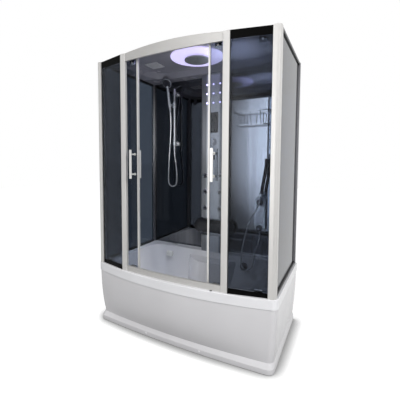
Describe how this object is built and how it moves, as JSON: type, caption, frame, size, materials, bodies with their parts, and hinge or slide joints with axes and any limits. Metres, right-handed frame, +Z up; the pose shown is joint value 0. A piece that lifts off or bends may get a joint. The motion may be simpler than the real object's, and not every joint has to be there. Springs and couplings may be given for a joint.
{
  "type": "shower cabin",
  "caption": "Steam-shower style cabin on a bow-fronted bathtub, with curved sliding glass doors, a shower column, handsets and a lit roof.",
  "frame": {"origin": "middle of the footprint, on the floor under the levelling feet", "axes": "+Z up, +X to the right seen from the doors, +Y from the doors to the back wall"},
  "size_m": [1.5, 0.8748, 2.221],
  "materials": {
    "tub_acrylic": "gloss",
    "apron_acrylic": "gloss",
    "frame_steel": "satin",
    "foot_steel": "zinc",
    "satin_aluminium": "satin",
    "dark_rail": "anodised black",
    "track_dark": "anodised",
    "tinted_glass": "polished",
    "dark_mirror_glass": "polished, coated black on the back",
    "side_glass": "polished",
    "chrome": "polished",
    "dark_chrome": "polished",
    "white_plastic": "gloss",
    "silver_panel": "satin",
    "display_glass": "gloss",
    "lamp": "lit diffuser",
    "brass": "as cast",
    "cushion_black": "matte",
    "hose_steel": "wound steel",
    "roof_grey": "satin",
    "black_plastic": "matte",
    "handset_dark": "gloss"
  },
  "bodies": {
    "cabin": {"tub_shell": "tub_acrylic", "apron": "apron_acrylic", "tub_frame": "frame_steel", "levelling_feet": "foot_steel", "waste_fitting": "chrome", "bath_spout": "white_plastic", "front_posts": "satin_aluminium", "rear_posts": "satin_aluminium", "header_rail": "satin_aluminium", "sill_rail": "satin_aluminium", "side_rails": "dark_rail", "side_panels": "side_glass", "fixed_glass": "tinted_glass", "back_panels": "dark_mirror_glass", "door_tracks": "track_dark", "column": "silver_panel", "display": "display_glass", "star_lights": "lamp", "trim_rings": "chrome", "mixer_valves": "brass", "cushion": "cushion_black", "riser_rail": "chrome", "shower_hose": "hose_steel", "shelf": "chrome", "bath_plate": "chrome", "bath_hose": "hose_steel", "roof": "roof_grey", "light_ring": "lamp", "rain_head": "dark_chrome", "vent_cover": "satin_aluminium", "fan_housing": "black_plastic"},
    "left_door": {"door_glass_left": "tinted_glass", "door_strip_left": "satin_aluminium", "door_fittings_left": "chrome", "door_handle_left": "chrome"},
    "right_door": {"door_glass_right": "tinted_glass", "door_strip_right": "satin_aluminium", "door_fittings_right": "chrome", "door_handle_right": "chrome"},
    "roller_left_inner": {"roller_left_inner": "black_plastic"},
    "roller_left_outer": {"roller_left_outer": "black_plastic"},
    "roller_right_inner": {"roller_right_inner": "black_plastic"},
    "roller_right_outer": {"roller_right_outer": "black_plastic"},
    "waste_plug": {"waste_plug": "chrome"},
    "overflow_knob": {"overflow_knob": "dark_chrome"},
    "mixer_knob": {"mixer_knob": "chrome"},
    "diverter_knob": {"diverter_knob": "dark_chrome"},
    "slider": {"handset_slider": "chrome"},
    "handset": {"handset_cradle": "chrome", "handset": "chrome"},
    "bath_knob_top": {"bath_knob_top": "chrome"},
    "bath_knob_bottom": {"bath_knob_bottom": "chrome"},
    "bath_handset": {"bath_handset": "handset_dark"},
    "fan_rotor": {"fan_rotor": "black_plastic"},
    "jet_nozzle_1": {"jet_nozzle_1": "dark_chrome"},
    "jet_nozzle_2": {"jet_nozzle_2": "dark_chrome"},
    "jet_nozzle_3": {"jet_nozzle_3": "dark_chrome"},
    "jet_nozzle_4": {"jet_nozzle_4": "dark_chrome"},
    "jet_nozzle_5": {"jet_nozzle_5": "dark_chrome"},
    "jet_nozzle_6": {"jet_nozzle_6": "dark_chrome"}
  },
  "joints": [
    {"name": "left_door_slide", "type": "hinge", "parent": "cabin", "child": "left_door", "pos_m": [0, 3.12006, 1.3], "axis": [0, 0, 1], "range_deg": [0, 4.68]},
    {"name": "right_door_slide", "type": "hinge", "parent": "cabin", "child": "right_door", "pos_m": [0, 3.12006, 1.3], "axis": [0, 0, -1], "range_deg": [0, 4.68]},
    {"name": "roller_left_inner_spin", "type": "hinge", "parent": "left_door", "child": "roller_left_inner", "pos_m": [-0.34919, -0.36706, 2.1248], "axis": [0.0996, 0.995, 0], "range_deg": [0, 1312.8]},
    {"name": "roller_left_outer_spin", "type": "hinge", "parent": "left_door", "child": "roller_left_outer", "pos_m": [-0.6259, -0.32815, 2.1248], "axis": [0.1786, 0.9839, 0], "range_deg": [0, 1312.8]},
    {"name": "roller_right_inner_spin", "type": "hinge", "parent": "right_door", "child": "roller_right_inner", "pos_m": [0.34919, -0.36706, 2.1248], "axis": [0.0996, -0.995, 0], "range_deg": [0, 1312.8]},
    {"name": "roller_right_outer_spin", "type": "hinge", "parent": "right_door", "child": "roller_right_outer", "pos_m": [0.6259, -0.32815, 2.1248], "axis": [0.1786, -0.9839, 0], "range_deg": [0, 1312.8]},
    {"name": "slider_travel", "type": "slide", "parent": "cabin", "child": "slider", "axis": [0, 0, 1], "range_m": [-0.32, 0], "deforming": ["shower_hose"]},
    {"name": "handset_tilt", "type": "hinge", "parent": "slider", "child": "handset", "pos_m": [-0.475, 0.35, 1.905], "axis": [1, 0, 0], "range_deg": [-4, 25], "deforming": ["shower_hose"]},
    {"name": "mixer_turn", "type": "hinge", "parent": "cabin", "child": "mixer_knob", "pos_m": [0, 0.34, 1.53494], "axis": [0, -1, 0], "range_deg": [-45, 45]},
    {"name": "diverter_turn", "type": "hinge", "parent": "cabin", "child": "diverter_knob", "pos_m": [0, 0.34, 1.40198], "axis": [0, -1, 0], "range_deg": [-72, 72]},
    {"name": "jet_tilt_1", "type": "hinge", "parent": "cabin", "child": "jet_nozzle_1", "pos_m": [-0.077, 0.348, 1.22003], "axis": [1, 0, 0], "range_deg": [-12, 12]},
    {"name": "jet_tilt_2", "type": "hinge", "parent": "cabin", "child": "jet_nozzle_2", "pos_m": [-0.077, 0.348, 1.06896], "axis": [1, 0, 0], "range_deg": [-12, 12]},
    {"name": "jet_tilt_3", "type": "hinge", "parent": "cabin", "child": "jet_nozzle_3", "pos_m": [-0.077, 0.348, 0.91403], "axis": [1, 0, 0], "range_deg": [-12, 12]},
    {"name": "jet_tilt_4", "type": "hinge", "parent": "cabin", "child": "jet_nozzle_4", "pos_m": [0.077, 0.348, 1.22003], "axis": [1, 0, 0], "range_deg": [-12, 12]},
    {"name": "jet_tilt_5", "type": "hinge", "parent": "cabin", "child": "jet_nozzle_5", "pos_m": [0.077, 0.348, 1.06896], "axis": [1, 0, 0], "range_deg": [-12, 12]},
    {"name": "jet_tilt_6", "type": "hinge", "parent": "cabin", "child": "jet_nozzle_6", "pos_m": [0.077, 0.348, 0.91403], "axis": [1, 0, 0], "range_deg": [-12, 12]},
    {"name": "fan_spin", "type": "hinge", "parent": "cabin", "child": "fan_rotor", "pos_m": [-0.423, 0.03, 2.2085], "axis": [0, 0, 1], "continuous": true},
    {"name": "bath_mixer_turn", "type": "hinge", "parent": "cabin", "child": "bath_knob_top", "pos_m": [0.432, 0.39, 0.99396], "axis": [0, -1, 0], "range_deg": [-45, 45]},
    {"name": "bath_diverter_turn", "type": "hinge", "parent": "cabin", "child": "bath_knob_bottom", "pos_m": [0.432, 0.39, 0.76511], "axis": [0, -1, 0], "range_deg": [0, 90]},
    {"name": "bath_handset_lift", "type": "slide", "parent": "cabin", "child": "bath_handset", "axis": [0.1564, 0, 0.9877], "range_m": [0, 0.06], "deforming": ["bath_hose"]},
    {"name": "overflow_turn", "type": "hinge", "parent": "cabin", "child": "overflow_knob", "pos_m": [0.32, 0.3283, 0.4215], "axis": [0, -0.9293, 0.3693], "range_deg": [0, 90]},
    {"name": "plug_lift", "type": "slide", "parent": "cabin", "child": "waste_plug", "axis": [0, 0, 1], "range_m": [0, 0.0121]}
  ],
  "couplings": [
    {"joint": "roller_left_inner_spin", "follows": "left_door_slide", "ratio": 280.36},
    {"joint": "roller_left_outer_spin", "follows": "left_door_slide", "ratio": 280.36},
    {"joint": "roller_right_inner_spin", "follows": "right_door_slide", "ratio": 280.36},
    {"joint": "roller_right_outer_spin", "follows": "right_door_slide", "ratio": 280.36},
    {"joint": "plug_lift", "follows": "overflow_turn", "m_per_rad": 0.0076394}
  ]
}
